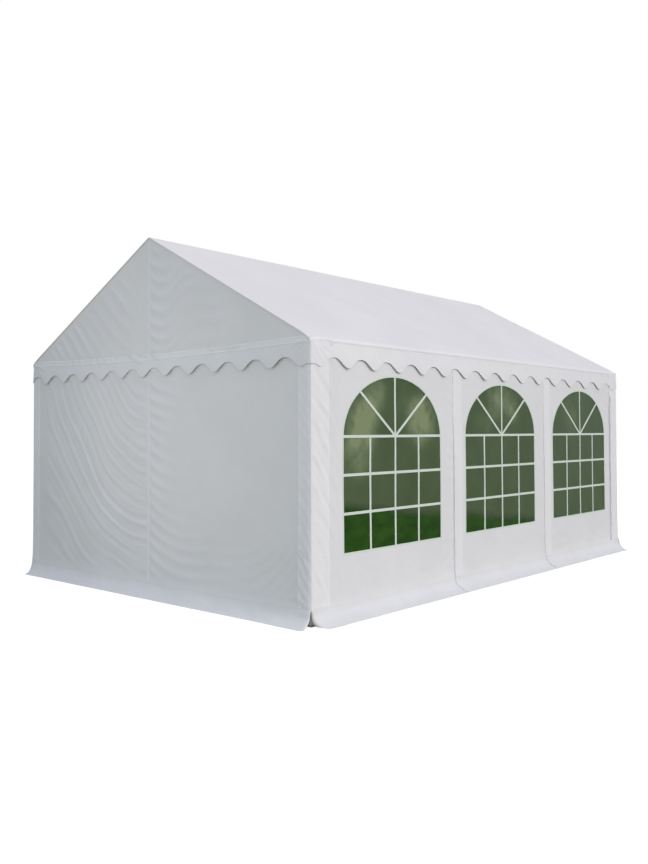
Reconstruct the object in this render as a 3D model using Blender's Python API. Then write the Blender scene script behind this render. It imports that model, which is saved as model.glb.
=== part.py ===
"""A gabled marquee tent, 4 m wide and 6 m long, in three bays.

A frame of round steel tube, four portals deep, carries a white PVC cover. The roof cover lies over the ridge and
the eaves, a scalloped valance hangs all round it, gable sheets and wall curtains close the ends and the sides, and
flaps at the foot of the walls flare out onto the ground. Each side wall has three arched windows of clear film.

Metres, +Z up. The origin is the middle of the footprint, on the ground. X runs across the tent, Y along it, and the
front gable faces -Y. Left and right are as seen from inside, looking out of the back: left is -X, right is +X.
"""
import math

import bmesh
import bpy
from mathutils import Matrix, Vector

GAP = 0.0003                     # clearance between pieces that touch

# Steel frame
TUBE_RADIUS = 0.021              # tube of 42 mm
SLEEVE_RADIUS = 0.025            # connector sleeves of 50 mm, pushed over the tube ends
LEG_SLEEVE_RADIUS = 0.0248       # the upright ones are a little slimmer, so that no two surfaces coincide
SLEEVE_LENGTH = 0.13             # from the run's axis to the sleeve's mouth
SLEEVE_ROOT = 0.01               # sleeves start this far behind the run's axis
TUBE_STOP = 0.032                # from the run's axis to the end of the tube in its sleeve
TUBE_SIDES = 16
FRAME_HALF_WIDTH = 1.975         # leg axes
FRAME_HALF_LENGTH = 2.975
BAYS = 3
EAVE_HEIGHT = 2.237              # axis of the eave tubes
RIDGE_HEIGHT = 3.306             # axis of the ridge tube
TIE_HEIGHT = 2.07                # axis of the gable ties, hidden behind the valance
TIE_CLAMP_LENGTH = 0.06
PLATE_SIZE = 0.13
PLATE_THICKNESS = 0.006
RAIL_HEIGHT = 0.026              # axis of the ground rails, sunk 1 mm into the foot plates
PEG_RADIUS = 0.007
PEG_INSET = 0.022                # peg hole centres, from the plate's edges

# Cloth
CLOTH = 0.003                    # thickness the cloth is built at
FILM = 0.002
WALL_FOOT = 0.14                 # where the walls end and the skirts begin
WALL_HEAD = 0.010                # walls end this far above the eave axis
SKIRT_REACH = 0.155              # how far the skirts run out over the ground
SKIRT_STEPS = 8
VALANCE_DEPTH = 0.222            # from the eave to the lowest points of the scallops
SCALLOP_DEPTH = 0.08
SCALLOP_NARROWING = 1.3          # low points are narrower than the high ones by this power
SCALLOP_CORNER_RISE = 0.018
SCALLOP_STEPS = 10

# Scallops along an edge: way from its first corner to the first low point, length of the first wave, and half of what
# each wave has over the one before it. Sides are counted from the front and ends from the right.
SIDE_SCALLOPS = (0.1016, 0.3492, 0.00234)
END_SCALLOPS = (0.092, 0.331, 0.0)

# Windows
WINDOW_PITCH = 1.885
WINDOW_HALF_WIDTH = 0.715
WINDOW_SILL = 0.53
WINDOW_SPRING = 1.475
WINDOW_RISE = 0.51
WINDOW_STEPS = 20
FILM_LAP = 0.03                  # film welded behind the cut edge

# Finishes: colour, roughness, metallic, alpha
STEEL = ((0.55, 0.56, 0.57), 0.42, 0.9, 1.0)
PVC = ((0.72, 0.72, 0.74), 0.5, 0.0, 1.0)
CLEAR_FILM = ((0.09, 0.12, 0.07), 0.12, 0.0, 0.6)

# Places that follow from these
SLOPE = math.atan2(RIDGE_HEIGHT - EAVE_HEIGHT, FRAME_HALF_WIDTH)
WALL_INNER_X = FRAME_HALF_WIDTH + SLEEVE_RADIUS + GAP
WALL_INNER_Y = FRAME_HALF_LENGTH + SLEEVE_RADIUS + GAP
COVER_INNER_X = WALL_INNER_X + CLOTH + GAP
COVER_INNER_Y = WALL_INNER_Y + CLOTH + GAP
COVER_OUTER_X = COVER_INNER_X + CLOTH
COVER_OUTER_Y = COVER_INNER_Y + CLOTH
FRAME_Y = [FRAME_HALF_LENGTH * (2 * i / BAYS - 1) for i in range(BAYS + 1)]
SIDES = (("left", -1), ("right", 1))
ENDS = (("front", -1), ("back", 1))


def clear_scene():
    for obj in list(bpy.data.objects):
        bpy.data.objects.remove(obj, do_unlink=True)


def new_collection(name):
    collection = bpy.data.collections.new(name)
    bpy.context.scene.collection.children.link(collection)
    return collection


def new_material(name, finish):
    color, roughness, metallic, alpha = finish
    material = bpy.data.materials.new(name)
    material.use_nodes = True
    shader = material.node_tree.nodes["Principled BSDF"]
    shader.inputs["Base Color"].default_value = (*color, 1.0)
    shader.inputs["Roughness"].default_value = roughness
    shader.inputs["Metallic"].default_value = metallic
    shader.inputs["Alpha"].default_value = alpha
    return material


def add_part(name, data, finish):
    """A sub-part of the tent, in a material of its own."""
    obj = bpy.data.objects.new(name, data)
    obj.data.materials.append(new_material(name, finish))
    TENT.objects.link(obj)
    return obj


def cylinder_mesh(name, start, end, radius):
    """A round bar between two points, with a corner of its section in the plane of X and Z."""
    start, end = Vector(start), Vector(end)
    axis = end - start
    mesh = bpy.data.meshes.new(name)
    bm = bmesh.new()
    bmesh.ops.create_cone(bm, cap_ends=True, cap_tris=False, segments=TUBE_SIDES, radius1=radius,
                          radius2=radius, depth=axis.length)
    turn = axis.to_track_quat("Z", "Y").to_matrix().to_4x4()
    bmesh.ops.transform(bm, matrix=Matrix.Translation((start + end) / 2) @ turn, verts=bm.verts)
    bm.to_mesh(mesh)
    bm.free()
    mesh.shade_smooth()
    mesh.set_sharp_from_angle(angle=math.radians(40))
    return mesh


def box_mesh(name, low, high):
    low, high = Vector(low), Vector(high)
    size = high - low
    mesh = bpy.data.meshes.new(name)
    bm = bmesh.new()
    bmesh.ops.create_cube(bm, size=1.0)
    bmesh.ops.transform(bm, matrix=Matrix.Translation((low + high) / 2) @ Matrix.Diagonal((*size, 1.0)),
                        verts=bm.verts)
    bm.to_mesh(mesh)
    bm.free()
    return mesh


def bar(name, start, end):
    return add_part(name, cylinder_mesh(name, start, end, TUBE_RADIUS), STEEL)


def combine(obj, mesh, operation):
    """Joins a mesh to an object, or cuts it away, with a modifier."""
    tool = bpy.data.objects.new(f"{obj.name}_{operation.lower()}_{len(obj.modifiers)}", mesh)
    CUTTERS.objects.link(tool)
    tool.hide_render = True
    tool.display_type = "WIRE"
    modifier = obj.modifiers.new(operation.lower(), "BOOLEAN")
    modifier.operation = operation
    modifier.object = tool


def add_sleeve(obj, centre, direction):
    """A connector sleeve that leaves a run's axis at a point, open at its mouth to take a tube."""
    centre, direction = Vector(centre), Vector(direction).normalized()
    radius = LEG_SLEEVE_RADIUS if direction.x == 0 else SLEEVE_RADIUS
    root = centre - direction * SLEEVE_ROOT
    mouth = centre + direction * SLEEVE_LENGTH
    combine(obj, cylinder_mesh("sleeve", root, mouth, radius), "UNION")


def bore_sleeve(obj, centre, direction):
    """The bore of a sleeve, from the stop of its tube out past the mouth."""
    centre, direction = Vector(centre), Vector(direction).normalized()
    bottom = centre + direction * (TUBE_STOP - GAP)
    beyond = centre + direction * (SLEEVE_LENGTH + SLEEVE_RADIUS)
    combine(obj, cylinder_mesh("bore", bottom, beyond, TUBE_RADIUS + GAP), "DIFFERENCE")


def connector_run(name, start, end, sleeves, joined=()):
    """A long tube with the connectors of all four portals on it, and what else is welded to it."""
    run = bar(name, start, end)
    for mesh in joined:
        combine(run, mesh, "UNION")
    for centre, direction in sleeves:
        add_sleeve(run, centre, direction)
    for centre, direction in sleeves:
        bore_sleeve(run, centre, direction)
    return run


def rafter_direction(side):
    """From the eave up to the ridge."""
    return Vector((-side * math.cos(SLOPE), 0.0, math.sin(SLOPE)))


def build_eave_tubes():
    for label, side in SIDES:
        x = side * FRAME_HALF_WIDTH
        sleeves = []
        for y in FRAME_Y:
            sleeves.append(((x, y, EAVE_HEIGHT), (0, 0, -1)))
            sleeves.append(((x, y, EAVE_HEIGHT), rafter_direction(side)))
        connector_run(f"eave_tube_{label}", (x, FRAME_Y[0], EAVE_HEIGHT), (x, FRAME_Y[-1], EAVE_HEIGHT),
                      sleeves)


def build_ridge_tube():
    sleeves = [((0, y, RIDGE_HEIGHT), -rafter_direction(side)) for y in FRAME_Y for _, side in SIDES]
    connector_run("ridge_tube", (0, FRAME_Y[0], RIDGE_HEIGHT), (0, FRAME_Y[-1], RIDGE_HEIGHT), sleeves)


def build_rafters():
    for label, side in SIDES:
        up = rafter_direction(side)
        for number, y in enumerate(FRAME_Y, 1):
            eave = Vector((side * FRAME_HALF_WIDTH, y, EAVE_HEIGHT))
            ridge = Vector((0, y, RIDGE_HEIGHT))
            bar(f"rafter_{label}_{number}", eave + up * TUBE_STOP, ridge - up * TUBE_STOP)


def build_legs():
    for label, side in SIDES:
        x = side * FRAME_HALF_WIDTH
        for number, y in enumerate(FRAME_Y, 1):
            bar(f"leg_{label}_{number}", (x, y, RAIL_HEIGHT + TUBE_STOP), (x, y, EAVE_HEIGHT - TUBE_STOP))


def plate_spans():
    """The stretch along Y of each foot plate, kept inside the cloth at the corners."""
    limit = FRAME_HALF_LENGTH + SLEEVE_RADIUS - PLATE_SIZE / 2
    middles = [max(-limit, min(limit, y)) for y in FRAME_Y]
    return [(middle - PLATE_SIZE / 2, middle + PLATE_SIZE / 2) for middle in middles]


def cut_peg_holes(rail, x):
    """A hole near each end of a foot plate, except where the sleeve of an end bar lies over it."""
    for low, high in plate_spans():
        for y in (low + PEG_INSET, high - PEG_INSET):
            if abs(y) < FRAME_HALF_LENGTH - SLEEVE_RADIUS:
                hole = cylinder_mesh("peg_hole", (x, y, -PLATE_THICKNESS), (x, y, 2 * PLATE_THICKNESS), PEG_RADIUS)
                combine(rail, hole, "DIFFERENCE")


def build_ground_rails():
    """A rail along each side, with foot plates, and sleeves for the legs and for the end bars."""
    for label, side in SIDES:
        x = side * FRAME_HALF_WIDTH
        outer = side * (FRAME_HALF_WIDTH + SLEEVE_RADIUS)
        inner = outer - side * PLATE_SIZE
        plates = [box_mesh("plate", (min(inner, outer), low, 0), (max(inner, outer), high, PLATE_THICKNESS))
                  for low, high in plate_spans()]
        sleeves = [((x, y, RAIL_HEIGHT), (0, 0, 1)) for y in FRAME_Y]
        sleeves += [((x, y, RAIL_HEIGHT), (-side, 0, 0)) for y in (FRAME_Y[0], FRAME_Y[-1])]
        rail = connector_run(f"ground_rail_{label}", (x, FRAME_Y[0], RAIL_HEIGHT), (x, FRAME_Y[-1], RAIL_HEIGHT),
                             sleeves, plates)
        cut_peg_holes(rail, inner + side * PEG_INSET)


def build_ground_bars():
    reach = FRAME_HALF_WIDTH - TUBE_STOP
    for label, end in ENDS:
        y = end * FRAME_HALF_LENGTH
        bar(f"ground_bar_{label}", (-reach, y, RAIL_HEIGHT), (reach, y, RAIL_HEIGHT))


def build_gable_ties():
    """A cross tube between the corner legs, clamped round each of them."""
    for label, end in ENDS:
        y = end * FRAME_HALF_LENGTH
        tie = bar(f"gable_tie_{label}", (-FRAME_HALF_WIDTH, y, TIE_HEIGHT), (FRAME_HALF_WIDTH, y, TIE_HEIGHT))
        for x in (-FRAME_HALF_WIDTH, FRAME_HALF_WIDTH):
            low, high = TIE_HEIGHT - TIE_CLAMP_LENGTH / 2, TIE_HEIGHT + TIE_CLAMP_LENGTH / 2
            combine(tie, cylinder_mesh("clamp", (x, y, low), (x, y, high), SLEEVE_RADIUS), "UNION")
        for x in (-FRAME_HALF_WIDTH, FRAME_HALF_WIDTH):
            low, high = TIE_HEIGHT - TIE_CLAMP_LENGTH, TIE_HEIGHT + TIE_CLAMP_LENGTH
            combine(tie, cylinder_mesh("clamp_bore", (x, y, low), (x, y, high), TUBE_RADIUS + GAP), "DIFFERENCE")


def sheet(name, outlines, thickness, finish, across, up, start):
    """A flat sheet from closed outlines of (u, v) points: the first is its edge and the rest are holes in it.

    u runs along across and v along up, both unit vectors, and the sheet grows from start along their cross product.
    """
    curve = bpy.data.curves.new(name, "CURVE")
    curve.dimensions = "2D"
    curve.fill_mode = "BOTH"
    curve.extrude = thickness / 2
    for outline in outlines:
        spline = curve.splines.new("POLY")
        spline.points.add(len(outline) - 1)
        for point, (u, v) in zip(spline.points, outline):
            point.co = (u, v, 0.0, 1.0)
        spline.use_cyclic_u = True
    obj = add_part(name, curve, finish)
    across, up = Vector(across), Vector(up)
    normal = across.cross(up)
    turn = Matrix((across, up, normal)).transposed().to_4x4()
    obj.matrix_world = Matrix.Translation(Vector(start) + normal * thickness / 2) @ turn
    return obj


def on_side(side):
    """Axes of a sheet on a side wall, seen from outside: u to the viewer's right, and outward as its normal."""
    return (0, side, 0), (0, 0, 1)


def on_end(end):
    """The same for a sheet on the front or the back."""
    return (-end, 0, 0), (0, 0, 1)


def waves_in(way, pitch, growth):
    """Number of waves in a way along an edge, from its first low point on."""
    return 2 * way / (pitch + math.sqrt(pitch ** 2 + 4 * growth * way))


def scallops(half_length, cut, low, start):
    """The wavy lower edge from u = -half_length to half_length. The first corner is at the end that start's sign gives.

    Beyond the first and the last low point the edge rises a little and runs straight to the corner, unless more
    than half a wave is left there.
    """
    first, pitch, growth = cut
    total = waves_in(2 * half_length - first, pitch, growth)
    count = math.ceil(2 * half_length / pitch * SCALLOP_STEPS)
    points = []
    for i in range(count + 1):
        u = -half_length + 2 * half_length * i / count
        phase = waves_in(half_length - start * u - first, pitch, growth)
        lobe = (0.5 + 0.5 * math.cos(2 * math.pi * phase)) ** SCALLOP_NARROWING
        rise = SCALLOP_DEPTH * (1 - lobe)
        if phase < 0 or (phase > math.floor(total) and total % 1 < 0.5):
            rise = min(rise, SCALLOP_CORNER_RISE)
        points.append((u, low + rise))
    return points


def cover_height(x, offset):
    """Height of a plane parallel to the roof slope, offset outward from the axes of the rafters."""
    return RIDGE_HEIGHT + offset / math.cos(SLOPE) - abs(x) * math.tan(SLOPE)


ROOF_INNER = SLEEVE_RADIUS + GAP
ROOF_OUTER = ROOF_INNER + CLOTH
EAVE_EDGE = cover_height(COVER_OUTER_X, ROOF_OUTER)
SCALLOP_LOW = EAVE_EDGE - VALANCE_DEPTH


def build_roof():
    x = COVER_OUTER_X
    outline = [(-x, cover_height(x, ROOF_INNER)), (0, cover_height(0, ROOF_INNER)), (x, cover_height(x, ROOF_INNER)),
               (x, cover_height(x, ROOF_OUTER)), (0, cover_height(0, ROOF_OUTER)), (-x, cover_height(x, ROOF_OUTER))]
    sheet("roof_cover", [outline], 2 * COVER_OUTER_Y, PVC, (1, 0, 0), (0, 0, 1), (0, COVER_OUTER_Y, 0))


def build_side_valances():
    half = COVER_INNER_Y - GAP
    top = cover_height(COVER_OUTER_X, SLEEVE_RADIUS)
    for label, side in SIDES:
        outline = scallops(half, SIDE_SCALLOPS, SCALLOP_LOW, -side) + [(half, top), (-half, top)]
        sheet(f"valance_{label}", [outline], CLOTH, PVC, *on_side(side), (side * COVER_INNER_X, 0, 0))


def build_gables():
    half = COVER_OUTER_X
    shoulder = cover_height(half, SLEEVE_RADIUS)
    for label, end in ENDS:
        outline = scallops(half, END_SCALLOPS, SCALLOP_LOW, -end)
        outline += [(half, shoulder), (0, cover_height(0, SLEEVE_RADIUS)), (-half, shoulder)]
        sheet(f"gable_{label}", [outline], CLOTH, PVC, *on_end(end), (0, end * COVER_INNER_Y, 0))


def arch(centre, half_width, sill, spring, rise):
    """A window's outline: a straight-sided foot and a half ellipse over it."""
    points = [(centre - half_width, sill), (centre + half_width, sill)]
    for i in range(WINDOW_STEPS + 1):
        angle = math.pi * i / WINDOW_STEPS
        points.append((centre + half_width * math.cos(angle), spring + rise * math.sin(angle)))
    return points


def window_centres():
    return [(i - (BAYS - 1) / 2) * WINDOW_PITCH for i in range(BAYS)]


def build_side_walls():
    half = WALL_INNER_Y - GAP
    head = EAVE_HEIGHT + WALL_HEAD
    edge = [(-half, WALL_FOOT), (half, WALL_FOOT), (half, head), (-half, head)]
    openings = [arch(c, WINDOW_HALF_WIDTH, WINDOW_SILL, WINDOW_SPRING, WINDOW_RISE) for c in window_centres()]
    for label, side in SIDES:
        sheet(f"side_wall_{label}", [edge] + openings, CLOTH, PVC, *on_side(side), (side * WALL_INNER_X, 0, 0))


def build_windows():
    """Film behind each opening, numbered from the front."""
    for label, side in SIDES:
        for number, centre in enumerate(window_centres(), 1):
            outline = arch(side * centre, WINDOW_HALF_WIDTH + FILM_LAP, WINDOW_SILL - FILM_LAP, WINDOW_SPRING,
                           WINDOW_RISE + FILM_LAP)
            sheet(f"window_{label}_{number}", [outline], FILM, CLEAR_FILM, *on_side(side),
                  (side * (WALL_INNER_X - GAP - FILM), 0, 0))


def build_end_walls():
    """Two curtains at each end, which meet at the middle. Left and right are the tent's own."""
    half = WALL_INNER_X + CLOTH
    head = EAVE_HEIGHT + WALL_HEAD
    for end_label, end in ENDS:
        for label, side in SIDES:
            inner, outer = -end * side * GAP / 2, -end * side * half
            low_u, high_u = min(inner, outer), max(inner, outer)
            outline = [(low_u, WALL_FOOT), (high_u, WALL_FOOT), (high_u, head), (low_u, head)]
            sheet(f"{end_label}_wall_{label}", [outline], CLOTH, PVC, *on_end(end),
                  (0, end * WALL_INNER_Y, 0))


def skirt_section():
    """Cut across a skirt: it leaves the wall upright and turns out onto the ground along a quarter ellipse.

    Points are (outward from the wall's inner face, up), once along the under side and back along the top.
    """
    rise = WALL_FOOT - GAP
    points = []
    for inset, steps in ((0, range(SKIRT_STEPS + 1)), (CLOTH, range(SKIRT_STEPS, -1, -1))):
        for i in steps:
            angle = math.pi / 2 * i / SKIRT_STEPS
            out = SKIRT_REACH - (SKIRT_REACH - inset) * math.cos(angle)
            points.append((out, rise - (rise - inset) * math.sin(angle)))
    return points


def build_skirts():
    side_length = 2 * (WALL_INNER_Y - GAP)
    end_length = 2 * (WALL_INNER_X + CLOTH)
    for label, side in SIDES:
        sheet(f"skirt_{label}", [skirt_section()], side_length, PVC, (side, 0, 0), (0, 0, 1),
              (side * WALL_INNER_X, side * side_length / 2, 0))
    for label, end in ENDS:
        sheet(f"skirt_{label}", [skirt_section()], end_length, PVC, (0, end, 0), (0, 0, 1),
              (-end * end_length / 2, end * WALL_INNER_Y, 0))


def build_frame():
    build_ground_rails()
    build_ground_bars()
    build_legs()
    build_eave_tubes()
    build_rafters()
    build_ridge_tube()
    build_gable_ties()


def build_cloth():
    build_roof()
    build_side_valances()
    build_gables()
    build_side_walls()
    build_end_walls()
    build_windows()
    build_skirts()


clear_scene()
TENT = new_collection("marquee_tent")
CUTTERS = new_collection("cutters")
build_frame()
build_cloth()
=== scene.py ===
"""The looks of a gabled marquee tent, 4 by 6 m: white PVC cloth with seams, swags and flared foot flaps,
arched windows of tinted film, and the galvanised frame inside.

Metres, +Z up, the front gable faces -Y. Cloth is laid out flat, as points (u, v), and then placed in space.
Each sheet is made for the front or the right side, and the back and the left side are mirrored from them.
"""

import math

import bpy
import numpy as np
from mathutils import Matrix, Vector, kdtree, noise
from mathutils.geometry import delaunay_2d_cdt


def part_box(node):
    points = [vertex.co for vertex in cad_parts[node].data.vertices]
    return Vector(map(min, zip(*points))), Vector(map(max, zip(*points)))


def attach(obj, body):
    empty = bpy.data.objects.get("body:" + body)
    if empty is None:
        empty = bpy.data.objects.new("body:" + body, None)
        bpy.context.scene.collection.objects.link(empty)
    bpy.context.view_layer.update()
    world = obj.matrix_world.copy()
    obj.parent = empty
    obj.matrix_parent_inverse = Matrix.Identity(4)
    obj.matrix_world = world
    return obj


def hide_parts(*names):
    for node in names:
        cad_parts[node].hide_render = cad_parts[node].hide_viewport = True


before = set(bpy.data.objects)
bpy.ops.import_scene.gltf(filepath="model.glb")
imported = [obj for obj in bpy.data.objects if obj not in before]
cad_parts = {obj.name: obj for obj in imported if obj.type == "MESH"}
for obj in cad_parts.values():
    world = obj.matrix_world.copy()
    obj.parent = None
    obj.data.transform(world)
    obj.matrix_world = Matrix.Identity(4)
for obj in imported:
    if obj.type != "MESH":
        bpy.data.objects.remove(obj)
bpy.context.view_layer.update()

# Places read from the frame
WALL_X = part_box("side_wall_right")[1].x  # outer faces of the walls
WALL_Y = -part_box("front_wall_right")[0].y
WALL_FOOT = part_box("side_wall_right")[0].z
WALL_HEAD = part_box("side_wall_right")[1].z
WALL_EDGE = WALL_FOOT - 0.015  # lower edge of the walls' cloth, behind the skirts
COVER_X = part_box("valance_right")[1].x  # outer faces of the valances
COVER_Y = -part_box("gable_front")[0].y
SCALLOP_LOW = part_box("valance_right")[0].z
GROUND_Y = -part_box("skirt_front")[0].y  # the skirts' edges on the ground
EAVE_X = sum(c.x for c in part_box("leg_right_2")) / 2
RAFTER_Y = [sum(c.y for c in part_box(f"leg_right_{i}")) / 2 for i in range(1, 5)]
END_Y = RAFTER_Y[-1]

# Which way each side and each end is mirrored
SIDES = (("right", 1), ("left", -1))
ENDS = (("front", 1), ("back", -1))

# Heights of the tubes that carry the roof
EAVE_Z = 2.237
RIDGE_Z = 3.306
SLOPE = math.atan2(RIDGE_Z - EAVE_Z, EAVE_X)
SLOPE_LENGTH = math.hypot(RIDGE_Z - EAVE_Z, EAVE_X)

# Cloth
CLOTH = 0.0015
FILM = 0.0008
CORNER_RADIUS = 0.012  # bend of the cloth round the corner legs
ROOF_LIFT = 0.0345  # top of the roof cloth, from the axes of the tubes under it
VALANCE_LIFT = 0.0325
EAVE_BEND = 0.036  # radius of the bend in a valance where it hangs from the eave
EAVE_LIP = 0.002  # roof cloth turned down over the valances
VERGE_LIP = 0.012  # and over the edges of the gables
VERGE_RADIUS = 0.006
VALANCE_LAP = 0.03  # valance cloth laid up over the eave, under the roof
VALANCE_TUCK = 0.014  # and round the corners, under the gables
SIDE_FLARE = 0.013  # how far the scalloped edges stand out from the eave
END_FLARE = 0.019
CORNER_FLARE = 0.006  # and at the corners
CORNER_DROOP = 0.012  # sag of the cloth over the ends of the eaves
SCALLOP_DEPTH = 0.08
SCALLOP_CORNER_RISE = 0.018
# Way from the corner to the first low point, length of the first wave, and half of what each adds to it.
# The sides are counted from the front, and the ends from the right.
SIDE_SCALLOPS = (0.1016, 0.3492, 0.00234)
END_SCALLOPS = (0.092, 0.331, 0.0)
HEM_SAG = 0.036  # the gable's lower hem hangs this much lower in the middle
HEM_WIDTH = 0.05
SKIRT_TOP = 0.15
SKIRT_DROP = 0.215  # cut depth of a skirt
SKIRT_REACH = GROUND_Y - WALL_Y - 0.008
# Cloth spreads towards the ground: shares of the reach, and their heights
SPREADS = ((0.94, 0.042), (0.06, 0.15))
STRIP_X = 1.885  # inner edges of the corner strips
STRIP_Y = 2.80
LAP_Y = 0.9425  # laps between the panels of a side wall
LAP_WIDTH = 0.16
FAR_SEAM_Y = 2.75

# A skirt's edge on the ground near its ends: distance in from the wall's corner, and out from the wall
LOBE = [(0.24, 0.147), (0.16, 0.147), (0.09, 0.148), (0.035, 0.149), (-0.002, 0.147), (-0.020, 0.138),
        (-0.026, 0.122)]
CUT_BACK = [(0.24, 0.147), (0.15, 0.144), (0.09, 0.140), (0.062, 0.127), (0.054, 0.095), (0.056, 0.060),
            (0.060, 0.035)]
SQUARE = [(0.24, 0.147), (0.17, 0.151), (0.11, 0.153), (0.072, 0.152), (0.048, 0.142), (0.038, 0.118),
          (0.022, 0.080), (0.004, 0.050), (-0.014, 0.024), (-0.030, 0.0)]
FAN = 0.012  # length of a skirt's top edge from which its end fans out

# Windows
FILM_LAP = 0.03
WINDOW_SPRING = 1.475
BAR = 0.023
BORDER = 0.016
RAY_ANGLE = math.radians(47)
BAR_LIFT = 0.0012  # outer faces of the bars, off the wall
BAR_DEPTH = 0.0036
# Painted reflections of the sky on the films, as soft pale patches: y, z, radius and strength
SKY_REFLECTIONS = ((-2.42, 1.32, 0.36, 0.60), (-2.34, 1.60, 0.34, 0.85), (-1.47, 1.62, 0.34, 1.05),
           (-2.14, 1.83, 0.26, 0.50), (-1.72, 1.80, 0.22, 0.14), (-0.09, 1.83, 0.34, 0.60),
           (0.20, 1.77, 0.26, 0.60), (-0.36, 1.56, 0.24, 0.26), (1.70, 1.74, 0.50, 0.22))


def cloud(u, v, size, seed):
    """Smooth noise between about -1 and 1, with lumps of the given size."""
    return np.array([noise.noise((a / size, b / size, seed)) for a, b in zip(np.ravel(u), np.ravel(v))])


def ramp(value, low, high):
    """0 below low, 1 above high, and smooth between them."""
    t = np.clip((value - low) / (high - low), 0.0, 1.0)
    return t * t * (3 - 2 * t)


def crest(phase):
    """Rounded crests at the whole numbers of the phase, with wide hollows between them."""
    return (0.5 + 0.5 * np.cos(2 * np.pi * phase)) ** 1.6


def bell(value, width):
    return np.exp(-(value / width) ** 2)


def spaced(stops, step):
    """Rising values through the given stops, about a step apart."""
    values = [stops[0]]
    for low, high in zip(stops, stops[1:]):
        count = max(1, round((high - low) / step))
        values += [low + (high - low) * i / count for i in range(1, count + 1)]
    return values


def smooth_path(points, steps):
    """A smooth curve through points, with a number of steps between each two."""
    ends = [points[0], *points, points[-1]]
    curve = []
    for a, b, c, d in zip(ends, ends[1:], ends[2:], ends[3:]):
        for i in range(steps):
            t = i / steps
            curve.append(tuple(0.5 * (2 * q + (r - p) * t + (2 * p - 5 * q + 4 * r - s) * t ** 2
                                      + (3 * q - p - 3 * r + s) * t ** 3) for p, q, r, s in zip(a, b, c, d)))
    return curve + [tuple(points[-1])]


# Flat shapes

def densify(loop, step):
    """A closed outline with extra points, so that none are further apart than step."""
    dense = []
    for (ax, ay), (bx, by) in zip(loop, loop[1:] + loop[:1]):
        count = max(1, math.ceil(math.hypot(bx - ax, by - ay) / step))
        dense += [(ax + (bx - ax) * i / count, ay + (by - ay) * i / count) for i in range(count)]
    return dense


def inside(points, loop):
    """Which points lie inside a closed outline."""
    x, y = points[:, 0], points[:, 1]
    found = np.zeros(len(points), bool)
    ax, ay = loop[-1]
    for bx, by in loop:
        if ay != by:
            found ^= ((ay > y) != (by > y)) & (x < ax + (y - ay) * (bx - ax) / (by - ay))
        ax, ay = bx, by
    return found


def doubled_areas(points, triangles):
    """Twice the areas of flat triangles, below 0 where they run clockwise."""
    a, b, c = (points[triangles[:, i]] for i in range(3))
    return (b[:, 0] - a[:, 0]) * (c[:, 1] - a[:, 1]) - (b[:, 1] - a[:, 1]) * (c[:, 0] - a[:, 0])


def fill(outline, holes=(), step=0.025):
    """Points and triangles of a flat shape: its outline, its holes, and a staggered grid between them."""
    loops = [densify(list(loop), step) for loop in (outline, *holes)]
    edge = [point for loop in loops for point in loop]
    segments, start = [], 0
    for loop in loops:
        segments += [(start + i, start + (i + 1) % len(loop)) for i in range(len(loop))]
        start += len(loop)
    low, high = np.min(edge, axis=0), np.max(edge, axis=0)
    rows = np.arange(low[1] + step / 2, high[1], step * math.sqrt(0.75))
    columns = np.arange(low[0], high[0], step)
    grid = np.array([(x + step / 2 * (i % 2), y) for i, y in enumerate(rows) for x in columns])
    grid = grid[inside(grid, loops[0])]
    for loop in loops[1:]:
        grid = grid[~inside(grid, loop)]
    tree = kdtree.KDTree(len(edge))
    for i, (x, y) in enumerate(edge):
        tree.insert((x, y, 0), i)
    tree.balance()
    grid = [(x, y) for x, y in grid if tree.find((x, y, 0))[2] > 0.6 * step]
    corners = [Vector(point) for point in edge + grid]
    flat, _, faces, *_ = delaunay_2d_cdt(corners, segments, [], 0, 1e-6)
    points, triangles = np.array([tuple(p) for p in flat]), np.array(faces)
    middles = points[triangles].mean(axis=1)
    keep = inside(middles, loops[0])
    for loop in loops[1:]:
        keep &= ~inside(middles, loop)
    triangles = triangles[keep]
    turned = doubled_areas(points, triangles) < 0
    triangles[turned] = triangles[turned][:, ::-1]
    return points, triangles


def rectangle(low_u, low_v, high_u, high_v, step=0.025):
    return fill([(low_u, low_v), (high_u, low_v), (high_u, high_v), (low_u, high_v)], step=step)


def grid_of(us, vs):
    """Points and triangles of a grid."""
    points = np.array([(u, v) for v in vs for u in us])
    n = len(us)
    first = np.array([j * n + i for j in range(len(vs) - 1) for i in range(n - 1)])
    lower = np.stack((first, first + 1, first + n + 1), axis=1)
    upper = np.stack((first, first + n + 1, first + n), axis=1)
    return points, np.vstack((lower, upper))


# Pieces

def round_corners(points):
    """Cloth bends round the corners: beyond the middle of that bend, squares about it become circles.

    Over the ends of the eaves it also droops a little.
    """
    middle_x, middle_y = WALL_X - CORNER_RADIUS, WALL_Y - CORNER_RADIUS
    dx, dy = np.abs(points[:, 0]) - middle_x, np.abs(points[:, 1]) - middle_y
    past = (dx > 0) & (dy > 0)
    shrink = np.where(past, np.maximum(dx, dy) / np.where(past, np.hypot(dx, dy), 1), 1)
    moved = points.copy()
    moved[:, 0] = np.where(past, np.sign(points[:, 0]) * (middle_x + dx * shrink), points[:, 0])
    moved[:, 1] = np.where(past, np.sign(points[:, 1]) * (middle_y + dy * shrink), points[:, 1])
    nearness = bell(COVER_X - np.abs(points[:, 0]), 0.05) * bell(COVER_Y - np.abs(points[:, 1]), 0.08)
    moved[:, 2] -= CORNER_DROOP * nearness * ramp(points[:, 2], SCALLOP_LOW, EAVE_Z)
    return moved


def vertex_normals(points, triangles):
    a, b, c = (points[triangles[:, i]] for i in range(3))
    face = np.cross(b - a, c - a)
    total = np.zeros_like(points)
    for i in range(3):
        np.add.at(total, triangles[:, i], face)
    return total / np.linalg.norm(total, axis=1, keepdims=True)


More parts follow.
